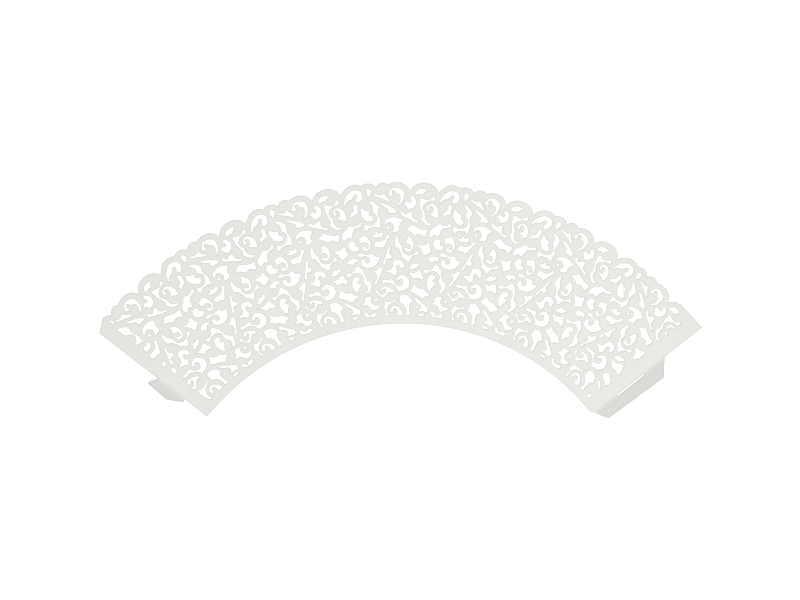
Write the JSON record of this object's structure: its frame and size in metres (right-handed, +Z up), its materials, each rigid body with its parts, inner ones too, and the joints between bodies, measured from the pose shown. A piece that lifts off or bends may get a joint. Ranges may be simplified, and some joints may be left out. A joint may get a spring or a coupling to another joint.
{
  "type": "flat lace cupcake wrapper",
  "caption": "Arc-shaped sheet of card with a cut scroll lace and a scalloped edge, which closes into a cone around a baking cup, with a slit flap and a tongue.",
  "frame": {"origin": "on the ground, under the middle of the sheet's bounding box", "axes": "+Z up out of the sheet, +Y from the plain concave edge towards the scalloped edge, +X towards the end with the slit flap"},
  "size_m": [0.2184, 0.0856, 0.0035],
  "materials": {
    "card": "matt white card"
  },
  "bodies": {
    "root": {"lace_sheet": "card"}
  },
  "joints": []
}
